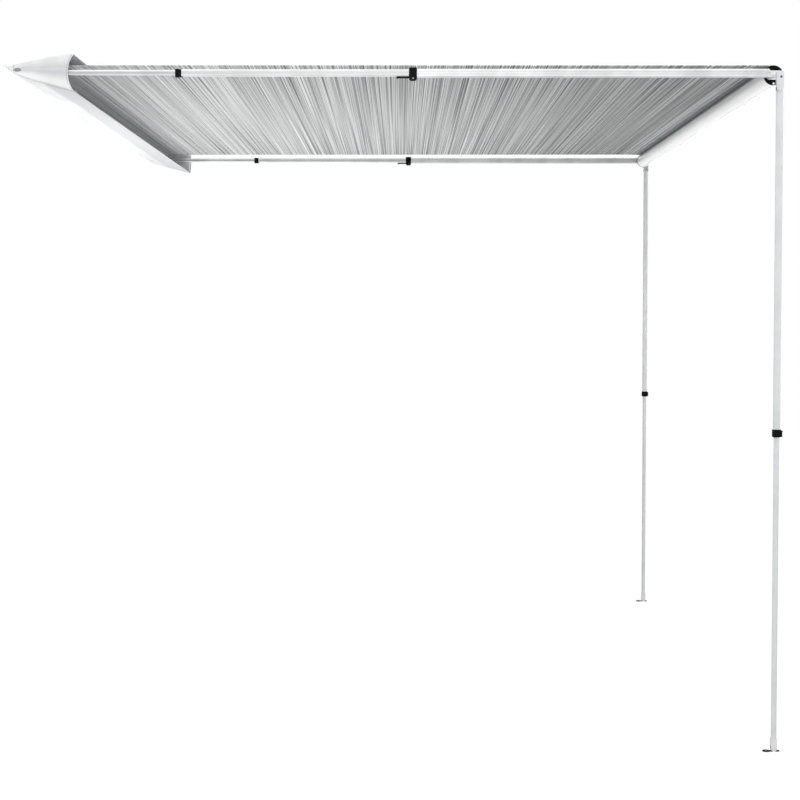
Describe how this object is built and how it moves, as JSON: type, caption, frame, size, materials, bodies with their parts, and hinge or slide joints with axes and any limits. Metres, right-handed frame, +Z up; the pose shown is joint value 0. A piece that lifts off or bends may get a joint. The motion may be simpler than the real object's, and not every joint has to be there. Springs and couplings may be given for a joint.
{
  "type": "bag awning",
  "caption": "Roll-out bag awning: wall bag with keder, telescoping rafters, roller with wound canopy, folding telescoping legs with clamps and peg feet, open.",
  "frame": {"origin": "middle of the wall profile's flat back face, where the awning bears on the vehicle's wall", "axes": "+X out from the wall towards the roller, +Y along the awning, +Z up"},
  "size_m": [2.5674, 3.2012, 2.3112],
  "materials": {
    "white_aluminium": "satin white powder coat",
    "bare_aluminium": "mill-finish extrusion",
    "white_casting": "white painted die casting",
    "black_nylon": "fine-grained moulded nylon",
    "steel": "zinc-plated steel",
    "bag_vinyl": "white coated fabric, grey inside",
    "keder_vinyl": "smooth white welt",
    "canopy_cloth": "grey streaked awning cloth"
  },
  "bodies": {
    "wall_side": {"wall_profile": "bare_aluminium", "keder_strip": "keder_vinyl", "bag_top_flap": "bag_vinyl", "bag_bottom_flap": "bag_vinyl", "near_bag_end": "bag_vinyl", "far_bag_end": "bag_vinyl", "near_wall_bracket": "white_casting", "far_wall_bracket": "white_casting", "near_wall_pin": "steel", "far_wall_pin": "steel"},
    "zip_slider_body": {"zip_slider": "black_nylon"},
    "near_rafter_root": {"near_rafter_inner": "white_aluminium", "near_rafter_eye": "white_casting", "canopy": "canopy_cloth"},
    "far_rafter_root": {"far_rafter_inner": "white_aluminium", "far_rafter_eye": "white_casting"},
    "near_rafter_mid": {"near_rafter_middle": "white_aluminium", "near_rafter_collar": "black_nylon"},
    "far_rafter_mid": {"far_rafter_middle": "white_aluminium", "far_rafter_collar": "black_nylon"},
    "front": {"near_rafter_outer": "white_aluminium", "near_rafter_clamp": "black_nylon", "near_lever_rivet": "steel", "near_rafter_head": "white_casting", "near_hub_bracket": "white_casting", "near_swing_pin": "steel", "far_rafter_outer": "white_aluminium", "far_rafter_clamp": "black_nylon", "far_lever_rivet": "steel", "far_rafter_head": "white_casting", "far_hub_bracket": "white_casting", "far_swing_pin": "steel"},
    "roller": {"roller_tube": "white_aluminium", "near_end_cap": "black_nylon", "far_end_cap": "black_nylon", "near_cap_screw": "steel", "far_cap_screw": "steel"},
    "near_rafter_cam": {"near_rafter_lever": "black_nylon"},
    "near_leg_top": {"near_leg_head": "white_casting", "near_fold_pin": "steel"},
    "near_leg_upper": {"near_leg_tongue": "white_casting", "near_leg_outer": "white_aluminium", "near_leg_clamp": "black_nylon"},
    "near_leg_cam": {"near_leg_lever": "black_nylon"},
    "near_leg_lower": {"near_leg_inner": "white_aluminium", "near_leg_boot": "white_casting", "near_foot_pin": "steel"},
    "near_foot": {"near_foot_plate": "black_nylon"},
    "far_rafter_cam": {"far_rafter_lever": "black_nylon"},
    "far_leg_top": {"far_leg_head": "white_casting", "far_fold_pin": "steel"},
    "far_leg_upper": {"far_leg_tongue": "white_casting", "far_leg_outer": "white_aluminium", "far_leg_clamp": "black_nylon"},
    "far_leg_cam": {"far_leg_lever": "black_nylon"},
    "far_leg_lower": {"far_leg_inner": "white_aluminium", "far_leg_boot": "white_casting", "far_foot_pin": "steel"},
    "far_foot": {"far_foot_plate": "black_nylon"}
  },
  "joints": [
    {"name": "near_roof_slope", "type": "hinge", "parent": "wall_side", "child": "near_rafter_root", "pos_m": [0.055, -1.572, -0.0094], "axis": [0, 1, 0], "range_deg": [-3, 10]},
    {"name": "far_roof_slope", "type": "hinge", "parent": "wall_side", "child": "far_rafter_root", "pos_m": [0.055, 1.572, -0.0094], "axis": [0, 1, 0], "range_deg": [-3, 10]},
    {"name": "awning_travel", "type": "slide", "parent": "near_rafter_root", "child": "front", "axis": [-1, 0, 0], "range_m": [0, 1.05], "deforming": ["canopy"]},
    {"name": "near_middle_slide", "type": "slide", "parent": "near_rafter_root", "child": "near_rafter_mid", "axis": [-1, 0, 0], "range_m": [0, 0.38]},
    {"name": "far_middle_slide", "type": "slide", "parent": "far_rafter_root", "child": "far_rafter_mid", "axis": [-1, 0, 0], "range_m": [0, 0.38]},
    {"name": "roller_turn", "type": "hinge", "parent": "front", "child": "roller", "pos_m": [2.5, 0, -0.0147], "axis": [0, 1, 0], "range_deg": [0, 1910]},
    {"name": "zip_slide", "type": "slide", "parent": "wall_side", "child": "zip_slider_body", "axis": [0, 1, 0], "range_m": [0, 3.06]},
    {"name": "near_cam_lever", "type": "hinge", "parent": "front", "child": "near_rafter_cam", "pos_m": [1.31, -1.572, -0.0288], "axis": [0, -1, 0], "range_deg": [0, 95]},
    {"name": "near_leg_swing", "type": "hinge", "parent": "front", "child": "near_leg_top", "pos_m": [2.5185, -1.572, -0.0235], "axis": [0, 1, 0], "range_deg": [-10, 3]},
    {"name": "near_leg_fold", "type": "hinge", "parent": "near_leg_top", "child": "near_leg_upper", "pos_m": [2.5163, -1.572, -0.0627], "axis": [1, 0, 0], "range_deg": [0, 90]},
    {"name": "near_leg_height", "type": "slide", "parent": "near_leg_upper", "child": "near_leg_lower", "axis": [0, 0, 1], "range_m": [-0.08, 0.95]},
    {"name": "near_leg_cam_lever", "type": "hinge", "parent": "near_leg_upper", "child": "near_leg_cam", "pos_m": [2.5321, -1.572, -1.1905], "axis": [0, -1, 0], "range_deg": [0, 100]},
    {"name": "near_foot_tilt", "type": "hinge", "parent": "near_leg_lower", "child": "near_foot", "pos_m": [2.5163, -1.572, -2.2525], "axis": [0, 1, 0], "range_deg": [-12, 15]},
    {"name": "far_cam_lever", "type": "hinge", "parent": "front", "child": "far_rafter_cam", "pos_m": [1.31, 1.572, -0.0288], "axis": [0, -1, 0], "range_deg": [0, 95]},
    {"name": "far_leg_swing", "type": "hinge", "parent": "front", "child": "far_leg_top", "pos_m": [2.5185, 1.572, -0.0235], "axis": [0, 1, 0], "range_deg": [-10, 3]},
    {"name": "far_leg_fold", "type": "hinge", "parent": "far_leg_top", "child": "far_leg_upper", "pos_m": [2.5163, 1.572, -0.0627], "axis": [-1, 0, 0], "range_deg": [0, 90]},
    {"name": "far_leg_height", "type": "slide", "parent": "far_leg_upper", "child": "far_leg_lower", "axis": [0, 0, 1], "range_m": [-0.08, 0.95]},
    {"name": "far_leg_cam_lever", "type": "hinge", "parent": "far_leg_upper", "child": "far_leg_cam", "pos_m": [2.5321, 1.572, -1.1905], "axis": [0, -1, 0], "range_deg": [0, 100]},
    {"name": "far_foot_tilt", "type": "hinge", "parent": "far_leg_lower", "child": "far_foot", "pos_m": [2.5163, 1.572, -2.2525], "axis": [0, 1, 0], "range_deg": [-12, 15]}
  ],
  "couplings": [
    {"joint": "far_roof_slope", "follows": "near_roof_slope", "ratio": 1},
    {"joint": "near_leg_swing", "follows": "near_roof_slope", "ratio": -1},
    {"joint": "far_leg_swing", "follows": "near_roof_slope", "ratio": -1},
    {"joint": "roller_turn", "follows": "awning_travel", "rad_per_m": 31.7},
    {"joint": "near_middle_slide", "follows": "awning_travel", "ratio": 0.36},
    {"joint": "far_middle_slide", "follows": "awning_travel", "ratio": 0.36}
  ]
}
